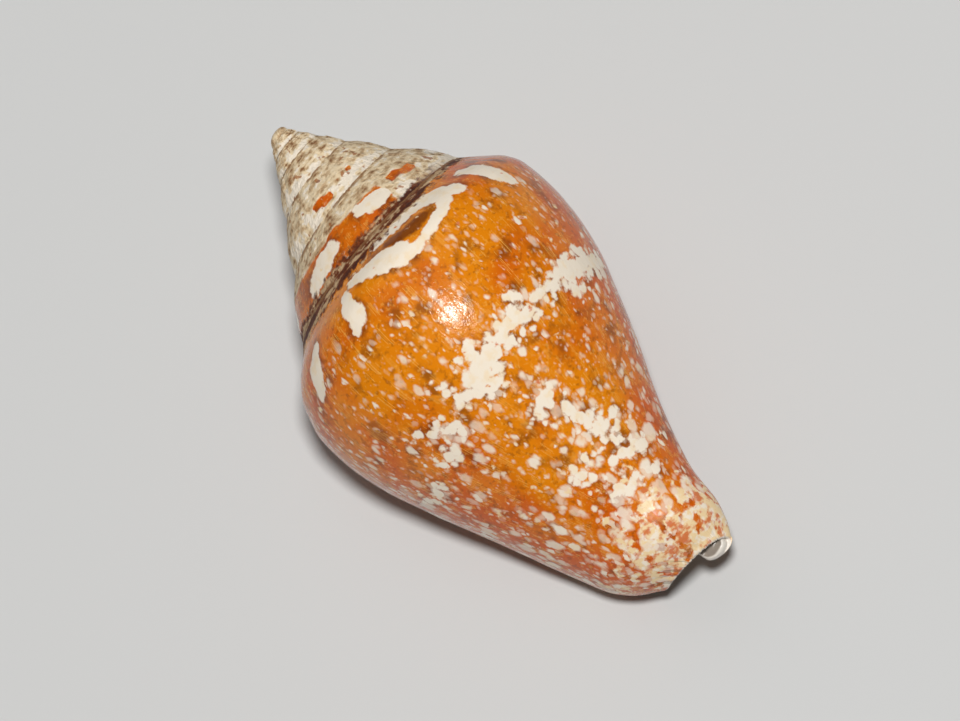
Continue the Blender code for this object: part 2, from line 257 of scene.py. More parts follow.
# Noise made a mask: its size in mm, its detail, the levels that it rises between and the mask's strength.
Pattern = namedtuple("Pattern", "size detail start full strength")
MOTTLE = (
    (Pattern(0.75, 6.0, 0.50, 0.72, 0.66), "umber"),
    (Pattern(0.20, 4.0, 0.52, 0.70, 0.42), "umber"),
    # Painted glints: pale-gold flecks, partly the shell's own fine speckle and partly painted glints of
    # light.
    (Pattern(0.13, 3.0, 0.56, 0.68, 0.28), "streak"),
)
STAIN = Pattern(0.40, 5.0, 0.48, 0.66, 0.45)
RIM_SHADE = Pattern(0.55, 3.0, 0.44, 0.60, 0.62)
FRONT_PALENESS = Pattern(0.22, 3.0, 0.48, 0.64, 1.0)
BAND_GAPS = Pattern(0.80, 3.0, 0.38, 0.52, 0.16)
RUST_FLECKS = Pattern(0.34, 2.0, 0.62, 0.68, 0.80)
LINE_GAPS = Pattern(0.70, 3.0, 0.40, 0.50, 0.80)

# Noise round 0 that makes edges ragged or lets something drift: its size in mm, its detail and its reach.
Swing = namedtuple("Swing", "size detail reach")
MARK_WOBBLE = Swing(0.24, 4.0, 1.0)
EDGE_WOBBLE = Swing(0.30, 3.0, 0.25)
BAND_WOBBLE = Swing(0.35, 3.0, 0.50)
SEAM_WOBBLE = Swing(0.26, 5.0, 1.0)
DOT_CROWDING = Swing(1.5, 3.0, 0.40)
WORN_DRIFT = Swing(1.1, 3.0, 0.10)

# Noise drawn out along the whorls and mixed with plain noise: how often it changes in one turn and from seam
# to front, its detail and its part in the mix, and the plain noise's size in mm and detail.
Grain = namedtuple("Grain", "per_turn per_share along_detail along_part size detail")
MARBLING = Grain(14.0, 44.0, 5.0, 0.5, 0.30, 5.0)
WORN_CRUMBS = Grain(24.0, 70.0, 6.0, 0.5, 0.28, 5.0)
SEAM_CRUMBS = Grain(13.0, 60.0, 5.0, 0.7, 0.20, 4.0)

# The ground: how much of the way from gold to russet comes from each cause. The part at the sides is painted
# shade, darker and redder where the whorl curves away from its lit back.
BACK_TURN = -0.35
DRIFT_SIZE_MM = 2.2
RUSSET_BY_DRIFT = 0.62
PAINTED_SHADE_AT_SIDES = (0.05, 0.22, 0.17)
RUSSET_AT_FRONT = 0.13
RUSSET_ANYWHERE = 0.16
RUSSET_LEVELS = (0.48, 0.70)

# Fine streaks along the growing lip, broken into dashes, raised as bumps and coloured pale: partly the growth
# lines' own colour, partly painted glints.
STREAKS_PER_TURN = 290.0
STREAK_DETAIL = 2.0
STREAK_STRETCH = (0.3, 1.0, 1.0)
STREAK_GAPS = (0.50, 0.60)
DASH_MM = 0.30
STREAK_LEVELS = (0.54, 0.64, 0.80)
LIP_STREAKS = (-0.30, -0.10, 0.05)

# Cream marks: how their edges swell, wobble and break into lobes, and the depths at which the cream shows.
Edge = namedtuple("Edge", "swell wobble lobes start full")
FLAME_EDGE = Edge(0.05, 0.30, 0.12, -0.03, 0.05)
PATCH_EDGE = Edge(0.03, 0.90, 0.75, -0.12, 0.12)
LOBE_MM = 0.34
LOBE_LEVEL = 0.50
DARK_DEPTHS = (-0.10, 0.10, 0.85)
RIM_DEPTHS = (-0.32, -0.04)

# Cream dots in three layers: their cell's size in mm, a dot's size as a part of its cell, and how much it
# grows towards the front end.
Dots = namedtuple("Dots", "cell size front_growth variety softness fading")
DOT_LAYERS = (
    Dots(0.22, 0.18, 0.06, variety=0.9, softness=0.16, fading=0.85),
    Dots(0.42, 0.19, 0.10, variety=0.7, softness=0.12, fading=0.60),
    Dots(0.60, 0.06, 0.20, variety=0.6, softness=0.10, fading=0.30),
)
DOT_STRETCH = (0.66, 1.0, 1.0)
DOT_PUSH_MM = 0.30
DOT_FRONT_SHARES = (0.42, 0.92)
DOT_LIP_GROWTH = (-0.22, -0.06, 0.06)
DOT_PATCH_GROWTH = (-1.0, -0.2, 0.04)
DOT_TOP_SHARES = (0.09, 0.16)

# The front end's cream cover and its marbling.
FRONT_BLOTCH_MM = 0.42
FRONT_DETAIL = 5.0
FRONT_SHARES = (0.76, 1.0)
FRONT_COVER = (0.12, -0.36, 0.32)
FRONT_LEVELS = (0.64, 0.73)
MARBLING_LEVELS = (0.49, 0.58, 0.85)

# The worn spire: the cream band at each whorl's foot, as parts of the way to the next seam, and its shades.
SPIRE_TURNS = (-0.98, -1.02)
BAND_PARTS = (0.60, 0.80)
WORN_SHADES = (("worn_grey", 0.37, 0.45), ("worn_light", 0.44, 0.53), ("cream", 0.55, 0.62))
BARE_WOBBLE = 1.6
BARE_LEVELS = (0.35, 0.60)

# The seam: the strip below the body whorl's seam, the one above it and the thin line of painted shade in
# every seam's crease.
STRIP_WOBBLE = 0.05
STRIP_SHARES = (0.024, 0.012)
STRIP_TURNS = (-1.0, -0.97)
WIDER_STRIP = (-0.50, -0.38, 0.014)
FOOT_WOBBLE = 0.35
FOOT_PARTS = (0.86, 0.95)
FOOT_TURNS = (-1.56, -1.44)
FOOT_FADE = 0.004
LINE_WOBBLE = 0.008
LINE_SHARES = (0.009, 0.004)
LINE_TURNS = (-4.9, -4.5)
SEAM_SHADES = (("umber", 0.42, 0.50), ("worn_grey", 0.50, 0.57))

# The lining, the glaze's gloss and the fine bumps on it.
LINING_LEVELS = (0.3, 0.6)
# How deep in the hollow the painted shade beside the pillar's end starts, where it is full, and its strength.
HOLLOW_DEPTHS = (0.0, 0.10, 0.9)
GLAZE_SHINE = 0.28
GLAZE_ROUGHNESS = 0.13
DULL_ROUGHNESS = 0.5
UNEVEN_ROUGHNESS = 0.05
UNEVEN_MM = 0.3
FRONT_ROUGHNESS = (0.6, 0.9, 0.05)
CRUMB_MM = 0.14
CRUMB_BUMP_DETAIL = 5.0
CRUMB_BUMP = 2.6
PEEL_MM = 0.16
PEEL_BUMP = 0.26
FINE_PEEL_MM = 0.06
FINE_PEEL_BUMP = 0.12
STREAK_BUMP = 0.10
BUMP_DISTANCE = 0.03 * MM

# The photograph's view: where the camera stands, seen from the shell, and what it looks at. Each light's
# direction is given as the camera sees it: to its right, upwards and towards it. Distances are in metres.
CAMERA_AZIMUTH_DEG = -10.7
CAMERA_ELEVATION_DEG = 69.45
CAMERA_ROLL_DEG = -34.19
CAMERA_DISTANCE = 0.60
CAMERA_TARGET = Vector((0.0, -0.08, 4.05)) * MM
VIEW_WIDTH = 30.72 * MM
NEAR_CLIP = 0.01
Light = namedtuple("Light", "direction distance size")
KEY = Light((-0.015, 0.15, 1.0), 0.45, 0.06)
FILL = Light((-0.7, 0.9, 1.0), 0.30, 0.35)
FLOOR_HALF_SIZE = 0.5
FLOOR_ROUGHNESS = 0.8


def size_setting(name, description, millimetres):
    """A small length that a user can change."""
    return bpy.props.FloatProperty(
        name=name, description=description, default=millimetres * MM, min=0.0, unit="LENGTH", precision=6
    )


def colour_setting(name, description, value):
    """A colour that a user can change, as linear values."""
    return bpy.props.FloatVectorProperty(
        name=name, description=description, subtype="COLOR", default=value, min=0.0, max=1.0
    )


class ShellRelief(bpy.types.PropertyGroup):
    """Sizes of the small relief that follows the shell's surface."""

    growth_depth: size_setting("Growth line depth", "Height of the lines that the growing lip left", 0.014)
    growth_lines: bpy.props.FloatProperty(
        name="Growth lines", description="How many growth lines there are in one turn", default=90.0, min=1.0
    )
    worn_depth: size_setting("Worn depth", "Depth of the crumbly pits on the worn spire", 0.05)
    chip_depth: size_setting("Chip depth", "How far the front edge is chipped back", 0.07)
    tooth_height: size_setting("Tooth height", "Height of the teeth inside the outer lip", 0.22)
    teeth: bpy.props.IntProperty(
        name="Teeth", description="Number of teeth inside the lip", default=12, min=0
    )
    fold_height: size_setting("Fold height", "Height of the folds on the pillar", 0.12)
    folds: bpy.props.IntProperty(
        name="Folds", description="Number of folds on the pillar", default=7, min=0
    )
    seed: bpy.props.IntProperty(name="Seed", description="Seed of the irregular relief", default=3)


class ShellColours(bpy.types.PropertyGroup):
    """Colours of the shell."""

    gold: colour_setting("Gold", "Lighter ground colour of the body whorl", (0.75, 0.225, 0.003))
    russet: colour_setting("Russet", "Redder ground colour of the body whorl", (0.62, 0.105, 0.003))
    umber: colour_setting("Umber", "Dark brown of the blotches and the seam", (0.15, 0.032, 0.006))
    # The pale streak colour is partly the growth lines' own colour and partly painted glints off them.
    streak: colour_setting("Streak", "Pale gold of the fine growth lines", (0.92, 0.50, 0.10))
    maroon: colour_setting("Maroon", "Darkest red-brown of the seam", (0.075, 0.016, 0.006))
    rust: colour_setting("Rust", "Flecks of colour left on the worn spire", (0.36, 0.11, 0.02))
    cream: colour_setting("Cream", "Colour of the flames, patches and dots", (0.90, 0.79, 0.64))
    front_cream: colour_setting("Front cream", "Yellowish cream of the front end", (0.88, 0.66, 0.37))
    worn_light: colour_setting("Worn, light", "Pale colour of the worn spire", (0.82, 0.65, 0.42))
    worn_grey: colour_setting("Worn, grey", "Middle grey-brown of the worn spire", (0.56, 0.38, 0.21))
    # This brown also serves as painted shade in the crease of every seam.
    worn_dark_and_seam_shade: colour_setting("Worn, dark", "Brown flecks of the worn spire", (0.27, 0.13, 0.05))
    lining: colour_setting("Lining", "Porcelain of the lip, the pillar and the inside", (0.84, 0.77, 0.68))
    # Painted shade: the grey-brown that the lining turns to where the lip's shadow falls into the hollow.
    hollow: colour_setting("Hollow", "Shaded grey-brown beside the pillar's end", (0.26, 0.21, 0.165))


class StudioSettings(bpy.types.PropertyGroup):
    """The plain floor and the studio lights."""

    floor_colour: colour_setting("Floor", "Colour of the plain floor", (0.60, 0.60, 0.59))
    key_power: bpy.props.FloatProperty(
        name="Key light", description="Power of the light near the camera", default=1.85, unit="POWER"
    )
    fill_power: bpy.props.FloatProperty(
        name="Fill light", description="Power of the large soft light", default=0.10, unit="POWER"
    )
    sky_strength: bpy.props.FloatProperty(
        name="Surroundings", description="Brightness of the plain surroundings", default=0.07, min=0.0
    )


def curve_through(points):
    """A smooth curve through (x, y) points that doesn't overshoot between them."""
    xs, ys = np.array(points, float).T
    steps = np.diff(xs)
    rises = np.diff(ys) / steps
    same_way = rises[:-1] * rises[1:] > 0
    total = np.where(same_way, rises[:-1] + rises[1:], 1.0)
    inner = np.where(same_way, 2 * rises[:-1] * rises[1:] / total, 0.0)
    slopes = np.concatenate([rises[:1], inner, rises[-1:]])

    def value(x):
        x = np.clip(x, xs[0], xs[-1])
        i = np.clip(np.searchsorted(xs, x, side="right") - 1, 0, len(steps) - 1)
        u = (x - xs[i]) / steps[i]
        start = ys[i] * (1 + 2 * u) + slopes[i] * steps[i] * u
        end = ys[i + 1] * (3 - 2 * u) - slopes[i + 1] * steps[i] * (1 - u)
        return start * (1 - u) ** 2 + end * u**2

    return value


def smooth(x):
    """Rises from 0 to 1 as x does, level at both ends."""
    x = np.clip(x, 0.0, 1.0)
    return x * x * (3 - 2 * x)


late_seam = curve_through(SEAM_DOWN)
front_edge = curve_through(FRONT_EDGE)
lip_wall = curve_through(LIP_WALL)


def seam_down(turn):
    """A growing spiral at first, and the measured seam over the last turns."""
    first_turn, first_down = SEAM_DOWN[0]
    growth = EARLY_GROWTH ** (np.minimum(turn, first_turn) - first_turn)
    return np.where(turn < first_turn, (first_down + EARLY_LIFT) * growth - EARLY_LIFT, late_seam(turn))


def seam_radius(turn):
    down = seam_down(turn)
    return TIP_RADIUS + CONE_SLOPE * down + CONE_FLARE * down**2


def whorl_profile(turn, below_seam):
    return curve_through(((0.0, float(seam_radius(turn))),) + below_seam)


# Share of the way down at which the lip's seam crosses the whorl one turn before it.
SEAM_SHARE = float((seam_down(0.0) - seam_down(-1.0)) / (front_edge(-1.0) - seam_down(-1.0)))

parietal_radius = whorl_profile(-1.0, ((SEAM_SHARE, float(seam_radius(0.0))),) + PARIETAL_PROFILE)
side_radius = whorl_profile(SIDE_TURN, SIDE_PROFILE)
lip_radius = whorl_profile(0.0, LIP_PROFILE)


def spire_whorl(turn, across):
    """(radius, down) on a spire whorl, across running from its upper seam (0) to its lower one (1)."""
    top_r, top_d = seam_radius(turn), seam_down(turn)
    run_r, run_d = seam_radius(turn + 1) - top_r, seam_down(turn + 1) - top_d
    bulge = WHORL_BULGE * np.sin(math.pi * across)
    return top_r + across * run_r + bulge * run_d, top_d + across * run_d - bulge * run_r


def body_radius(turn, share):
    """The body whorl's radius: its three profiles joined by a smooth curve round the shell."""
    parietal, side, lip = (np.log(curve(share)) for curve in (parietal_radius, side_radius, lip_radius))
    parietal_part = (turn - SIDE_TURN) * turn / (1 + SIDE_TURN)
    side_part = (turn + 1) * turn / ((SIDE_TURN + 1) * SIDE_TURN)
    lip_part = (turn + 1) * (turn - SIDE_TURN) / -SIDE_TURN
    return np.exp(parietal_part * parietal + side_part * side + lip_part * lip)


def body_whorl(turn, share):
    """(radius, down) of the outer face over the last turn, which starts with the spire's last section."""
    top = seam_down(turn)
    down = top + share * (front_edge(turn) - top)
    at_seam = seam_radius(turn) - body_radius(turn, np.zeros_like(share))
    radius = body_radius(turn, share) + at_seam * (1 - smooth(share / SEAM_FADE))
    spire_r, spire_d = spire_whorl(-1.0, np.minimum(share / SEAM_SHARE, 1.0))
    flat_r = body_radius(-1.0, share)
    flat_d = seam_down(-1.0) + share * (front_edge(-1.0) - seam_down(-1.0))
    still_spire = (share < SEAM_SHARE) * (1 - smooth((turn + 1) / SPIRE_FADE_TURNS))
    return radius + (spire_r - flat_r) * still_spire, down + (spire_d - flat_d) * still_spire


def opening_floor(turn, along):
    """(radius, down) of the whorl before, where the body whorl covers it at this turn."""
    scale = seam_radius(turn) / seam_radius(0.0)
    share = SEAM_SHARE + (1 - SEAM_SHARE) * along
    top = seam_down(turn)
    return parietal_radius(share) * scale, top + along * (front_edge(-1.0) - top)


def opening_roof(turn, along):
    """(radius, down) of the inner face of the body whorl, which closes on the floor at the opening's end."""
    floor_r, floor_d = opening_floor(turn, along)
    outer_r, outer_d = body_whorl(turn, along)
    gap_r, gap_d = outer_r - floor_r, outer_d - floor_d
    at_lip = np.exp(-((turn / LIP_DEPTH) ** 2))
    wall = INNER_WALL + (lip_wall(along) - INNER_WALL) * at_lip
    wall = wall + (FRONT_WALL - wall) * smooth((along - FRONT_WALL_FROM) / (1 - FRONT_WALL_FROM))
    reach = np.clip(1 - wall / np.hypot(gap_r, gap_d), LEAST_GAP, 1)
    opened = smooth(np.minimum((along - OPENING_TOP) / OPENING_RISE, (turn + OPENING_TURNS) / CLOSING_TURNS))
    return floor_r + gap_r * reach * opened, floor_d + gap_d * reach * opened


def placed(turn, radius_and_down, own_turn, share, lining):
    """Rows of points in the shell's own frame: its axis along Z with the spire up, coiling right-handed."""
    turn, radius, down = np.broadcast_arrays(turn, *radius_and_down)
    angle = -2 * math.pi * turn
    side_angle = -2 * math.pi * SIDE_TURN
    past = np.maximum(down - BEND_FROM_DOWN, 0) / (SHELL_LENGTH - BEND_FROM_DOWN)
    bend = BEND * past**BEND_POWER
    x = radius * np.cos(angle) + bend * math.cos(side_angle)
    y = radius * np.sin(angle) + bend * math.sin(side_angle)
    facts = [np.broadcast_to(fact, turn.shape) for fact in (own_turn, share, lining)]
    return np.stack([x, y, -down, *facts], axis=-1)


def rounded_edge(outer, inner, push):
    """Lines from an outer edge to an inner one, swelling along push between them."""
    shares = np.linspace(0, 1, EDGE_STEPS + 1)[:, None, None]
    lines = outer + (inner - outer) * shares
    wall = np.linalg.norm((inner - outer)[..., PLACE], axis=-1, keepdims=True)
    lines[..., PLACE] += push * wall * EDGE_ROUNDING * np.sin(math.pi * shares)
    return lines


def with_points(line, count):
    """The same line with another number of points."""
    old, new = np.linspace(0, 1, len(line)), np.linspace(0, 1, count)
    return np.stack([np.interp(new, old, line[:, column]) for column in range(line.shape[1])], axis=-1)


def turning_push(start, end, amount):
    """Unit directions that turn from start to end as amount rises from 0 to 1."""
    direction = start + (end - start) * amount[:, None]
    return direction / np.linalg.norm(direction, axis=-1, keepdims=True)


class Sheets:
    """Collects grids of points and their faces into one mesh."""

    def __init__(self):
        self.rows = []
        self.faces = []
        self.count = 0

    def numbers(self, rows):
        """Adds points and gives their numbers in the same layout."""
        shape = rows.shape[:-1]
        self.rows.append(rows.reshape(-1, rows.shape[-1]))
        first = self.count
        self.count += len(self.rows[-1])
        return np.arange(first, self.count).reshape(shape)

    def grid(self, rows):
        n = self.numbers(rows)
        corners = (n[:-1, :-1], n[:-1, 1:], n[1:, 1:], n[1:, :-1])
        self.faces += np.stack(corners, axis=-1).reshape(-1, 4).tolist()

    def zip(self, first, second):
        """A strip of triangles between two lines with different numbers of points."""
        first, second = self.numbers(first).tolist(), self.numbers(second).tolist()
        i, j = 0, 0
        while i + 1 < len(first) or j + 1 < len(second):
            if (i + 1) * (len(second) - 1) <= (j + 1) * (len(first) - 1):
                self.faces.append([first[i], first[i + 1], second[j]])
                i += 1
            else:
                self.faces.append([first[i], second[j + 1], second[j]])
                j += 1

    def dome(self, loop, top):
        """A rounded cap over a closed loop of points, reaching out to a top point."""
        loop = np.concatenate([loop, loop[:1]])
        middle = loop.mean(axis=0)
        peak = middle.copy()
        peak[PLACE] = top
        angles = np.linspace(math.pi / 2, 0, DOME_STEPS + 1)[:, None, None]
        self.grid(middle + (loop - middle) * np.sin(angles) + (peak - middle) * np.cos(angles))


def shell_sheets():
    """Every face of the shell, as grids that share the points along their edges."""
    sheets = Sheets()
    along_rows = OPENING_TOP + (1 - OPENING_TOP) * np.linspace(0, 1, OPENING_ROWS + 1)
    below_seam = np.concatenate([np.linspace(0, OPENING_TOP, ROOT_ROWS, endpoint=False), along_rows])
    across = np.linspace(0, 1, SPIRE_ROWS + 1)
    first_column = round(FIRST_TURN * COLUMNS_PER_TURN)
    spire_turns = np.arange(first_column, 1 - COLUMNS_PER_TURN)[:, None] / COLUMNS_PER_TURN
    spire = placed(spire_turns, spire_whorl(spire_turns, across[None]), spire_turns, across * SEAM_SHARE, 0.0)

    body_turns = np.arange(-COLUMNS_PER_TURN, 1)[:, None] / COLUMNS_PER_TURN
    first_shares = np.concatenate([across[:-1] * SEAM_SHARE, SEAM_SHARE + (1 - SEAM_SHARE) * below_seam])
    last_shares = np.interp(
        np.linspace(0, 1, len(first_shares)), np.linspace(0, 1, len(below_seam)), below_seam
    )
    shares = first_shares + (last_shares - first_shares) * smooth(body_turns + 1)
    body = placed(body_turns, body_whorl(body_turns, shares), body_turns, shares, 0.0)

    inner_turns = np.arange(0, -round(OPENING_TURNS * COLUMNS_PER_TURN) - 1, -1)[:, None] / COLUMNS_PER_TURN
    floor_lining = smooth(-inner_turns / LINING_FADE_TURNS)
    floor_shares = SEAM_SHARE + (1 - SEAM_SHARE) * along_rows
    floor = placed(
        inner_turns, opening_floor(inner_turns, along_rows[None]), inner_turns - 1, floor_shares, floor_lining
    )
    roof = placed(inner_turns, opening_roof(inner_turns, along_rows[None]), inner_turns, along_rows, 1.0)
    roof[:, 0, PLACE], roof[-1, :, PLACE] = floor[:, 0, PLACE], floor[-1, :, PLACE]
    body[0, : SPIRE_ROWS + 1] = spire[-1]
    body[0, SPIRE_ROWS + ROOT_ROWS :, PLACE] = floor[0, :, PLACE]
    for surface in (spire, body, floor, roof):
        sheets.grid(surface)

    # The lip, from the outer face to the opening's roof.
    lip_inner = np.concatenate([body[0, SPIRE_ROWS : SPIRE_ROWS + ROOT_ROWS], roof[0]])
    lip_inner[:, TURN], lip_inner[:, LINING] = 0.0, 1.0
    near_corner = smooth((last_shares - 1 + CORNER_SHARE) / CORNER_SHARE)
    push = turning_push(TOWARDS_LIP, TOWARDS_CORNER, near_corner)
    lip = rounded_edge(body[-1], with_points(lip_inner, len(body[-1])), push)
    sheets.grid(lip[:-1])
    sheets.zip(lip[-2], lip_inner)

    # The front edge, from the lip's corner back to the end of the opening.
    outer_front = body[: -len(inner_turns) - 1 : -1, -1]
    near_corner = 1 - smooth(np.arange(len(inner_turns)) / CORNER_COLUMNS)
    front = rounded_edge(outer_front, roof[:, -1], turning_push(TOWARDS_FRONT, TOWARDS_CORNER, near_corner))
    sheets.grid(front)

    # The tip of the pillar and the tip of the spire.
    pillar_loop = np.concatenate([body[-len(inner_turns) : 0 : -1, -1], floor[:, -1], front[-2:0:-1, -1]])
    sheets.dome(pillar_loop, (*pillar_loop[:, :2].mean(axis=0), -SHELL_LENGTH))
    spire_loop = np.concatenate([spire[: COLUMNS_PER_TURN + 1, 0], spire[0, -2:0:-1]])
    sheets.dome(spire_loop, (0.0, 0.0, 0.0))
    return np.concatenate(sheets.rows), sheets.faces


def laid_down(places):
    """Turns places to how the shell lies, in metres, over the middle of the frame's box."""
    spun = Matrix.Rotation(math.radians(SPIN_DEG), 3, "Z")
    tipped = Matrix.Rotation(math.radians(TIP_DEG - 90), 3, "Y")
    places = places @ np.array(tipped @ spun).T * MM
    low, high = places.min(axis=0), places.max(axis=0)
    middle = (SHELL_LOW + SHELL_HIGH) / 2
    shift = np.array([middle.x, middle.y, 0.0]) - (low + high) / 2
    shift[2] = SHELL_LOW.z - low[2] - WORN_FLAT * MM
    return places + shift


def skin_place(degrees, below):
    """A place on the skin, in the shell's own frame, from degrees back from the lip and mm below the seam."""
    turn = np.array(-degrees / 360)
    if turn < -1:
        across = below / (seam_down(turn + 1) - seam_down(turn))
        section = spire_whorl(turn, across)
    else:
        section = body_whorl(turn, below / (front_edge(turn) - seam_down(turn)))
    return placed(turn, section, turn, 0.0, 0.0)[PLACE]


def depth_in_stroke(places, points, widths):
    """How deep each place lies inside a stroke with rounded ends, in mm, and less than 0 outside it."""
    depth = np.full(len(places), -NO_MARK_MM)
    last = len(points) - 1
    for i in range(max(last, 1)):
        start, run = points[i], points[min(i + 1, last)] - points[i]
        through = np.clip((places - start) @ run / max(run @ run, WELD_MM), 0, 1)
        away = np.linalg.norm(places - start - through[:, None] * run, axis=1)
        half_width = widths[i] + through * (widths[min(i + 1, last)] - widths[i])
        depth = np.maximum(depth, half_width - away)
    return depth


def depth_in_marks(places, marks):
    """How deep each place lies inside the strokes of several marks on the skin."""
    depths = [
        depth_in_stroke(places, [skin_place(*spot[:2]) for spot in stroke], [spot[2] for spot in stroke])
        for stroke in marks
    ]
    return np.maximum.reduce(depths)


def hollow_depth(rows):
    """How deep each point lies in the hollow beside the pillar's end."""
    points, widths = zip(*((np.array(place), half_width) for place, half_width in HOLLOW))
    depth = depth_in_stroke(rows[:, PLACE], points, widths)
    return np.where(rows[:, TURN] < HOLLOW_BEFORE_TURN, depth, -NO_MARK_MM)


def up_to(value, top, fade):
    """1 where a value is well below its top, falling to 0 there."""
    return smooth((top - value) / fade)


def worn_amount(turn, share):
    """How far the glaze is worn off: the spire, the upper part of its last whorl, and a strip at the seam."""
    upper_part = up_to(share / SEAM_SHARE, *WORN_UPPER_PART) * up_to(turn, *WORN_UPPER_TURNS)
    return np.maximum.reduce([up_to(turn, *WORN_SPIRE), upper_part, up_to(share, *WORN_SEAM)])


def shell_mesh():
    """The shell's plain sheet as one closed mesh, with its turns and shares as a UV map and as attributes."""
    rows, faces = shell_sheets()
    hollow = hollow_depth(rows)
    rows[:, PLACE] -= HOLLOW_FACING * HOLLOW_DEPTH * smooth(hollow / HOLLOW_DEPTH)[:, None]
    places, turn, share, lining = rows[:, PLACE], rows[:, TURN], rows[:, SHARE], rows[:, LINING]
    mesh = bpy.data.meshes.new("dove_shell")
    mesh.from_pydata(laid_down(places).tolist(), [], faces)
    upper_cream = depth_in_marks(places, UPPER_WHORL_CREAM)
    glazed = np.maximum(upper_cream - GLAZE_MARGIN_MM / 2, depth_in_marks(places, UPPER_WHORL_ORANGE))
    still_glazed = smooth(glazed / GLAZE_MARGIN_MM + 1)
    facts = {
        "turn": turn,
        "share": share,
        "lining": lining,
        "hollow": hollow,
        "cream": np.maximum(depth_in_marks(places, FLAMES), upper_cream),
        "patches": depth_in_marks(places, PATCHES),
        "dark": depth_in_marks(places, DARK_MARKS),
        "worn": worn_amount(turn, share) * (1 - still_glazed) * (1 - lining),
    }
    for name, values in facts.items():
        mesh.attributes.new(name, "FLOAT", "POINT").data.foreach_set("value", values)
    corners = np.array([loop.vertex_index for loop in mesh.loops])
    whorl = mesh.uv_layers.new(name="whorl")
    whorl.data.foreach_set("uv", rows[corners][:, [TURN, SHARE]].ravel())

    bm = bmesh.new()
    bm.from_mesh(mesh)
    bmesh.ops.remove_doubles(bm, verts=bm.verts, dist=WELD_MM * MM)
    bmesh.ops.recalc_face_normals(bm, faces=bm.faces)
    bm.to_mesh(mesh)
    bm.free()
    mesh.shade_smooth()
    return mesh


class Nodes:
    """Adds nodes to a tree and links them, so that a formula takes one line."""

    def __init__(self, tree):
        self.tree = tree

    def add(self, kind, inputs=None, **settings):
        node = self.tree.nodes.new(kind)
        for name, value in settings.items():
            setattr(node, name, value)
        for key, value in (inputs or {}).items():
            self.feed(node.inputs[key], value)
        return node

    def feed(self, socket, value):
        if isinstance(value, bpy.types.NodeSocket):
            self.tree.links.new(value, socket)
        else:
            socket.default_value = value

    def math(self, operation, *values, clamp=False):
        node = self.add("ShaderNodeMath", dict(enumerate(values)), operation=operation, use_clamp=clamp)
        return node.outputs[0]

    def fold(self, operation, values):
        """One operation on the first two values, then on the result and the next."""
        result = values[0]
        for value in values[1:]:
            result = self.math(operation, result, value)
        return result

    def plus(self, *values):
        return self.fold("ADD", values)

    def less(self, first, second):
        return self.math("SUBTRACT", first, second)

    def times(self, *values):
        return self.fold("MULTIPLY", values)

    def over(self, first, second, clamp=False):
        return self.math("DIVIDE", first, second, clamp=clamp)

    def most(self, *values):
        return self.fold("MAXIMUM", values)

    def rise(self, value, start, full, top=1.0):
        """0 up to start and top from full on, smooth between them, or falling where full is below start."""
        inputs = {"Value": value, "From Min": start, "From Max": full, "To Max": top}
        return self.add("ShaderNodeMapRange", inputs, interpolation_type="SMOOTHSTEP").outputs["Result"]

    def inputs(self, sockets):
        """Makes the group's named inputs, each from its default number or the kind of its socket."""
        kinds = {float: "NodeSocketFloat", int: "NodeSocketInt"}
        for name, given in sockets.items():
            kind = kinds.get(type(given), given)
            socket = self.tree.interface.new_socket(name=name, in_out="INPUT", socket_type=kind)
            if kind != given:
                socket.default_value = given
        return self.add("NodeGroupInput").outputs

    def output(self, name, kind, value):
        self.tree.interface.new_socket(name=name, in_out="OUTPUT", socket_type=kind)
        self.feed(self.add("NodeGroupOutput").inputs[name], value)


def ridge_row_group():
    """A row of small ridges that cross one line of the shell, such as the teeth inside the lip."""
    nodes = Nodes(bpy.data.node_groups.new("Ridge row", "GeometryNodeTree"))
    given = nodes.inputs({
        "Turn": 0.0, "Share": 0.0, "Middle turn": 0.0, "Reach": 0.02, "First share": 0.0, "Last share": 1.0,
        "Count": 10, "Height": 0.0,
    })
    run = nodes.less(given["Last share"], given["First share"])
    through = nodes.over(nodes.less(given["Share"], given["First share"]), run, clamp=True)
    wave = nodes.math("SINE", nodes.times(through, given["Count"], math.pi))
    ridges = nodes.times(wave, wave)
    swell = nodes.math("SQRT", nodes.math("ABSOLUTE", nodes.math("SINE", nodes.times(through, math.pi))))
    away = nodes.over(nodes.less(given["Turn"], given["Middle turn"]), given["Reach"])
    near = nodes.math("EXPONENT", nodes.times(away, away, -1.0))
    nodes.output("Height", "NodeSocketFloat", nodes.times(ridges, swell, near, given["Height"]))


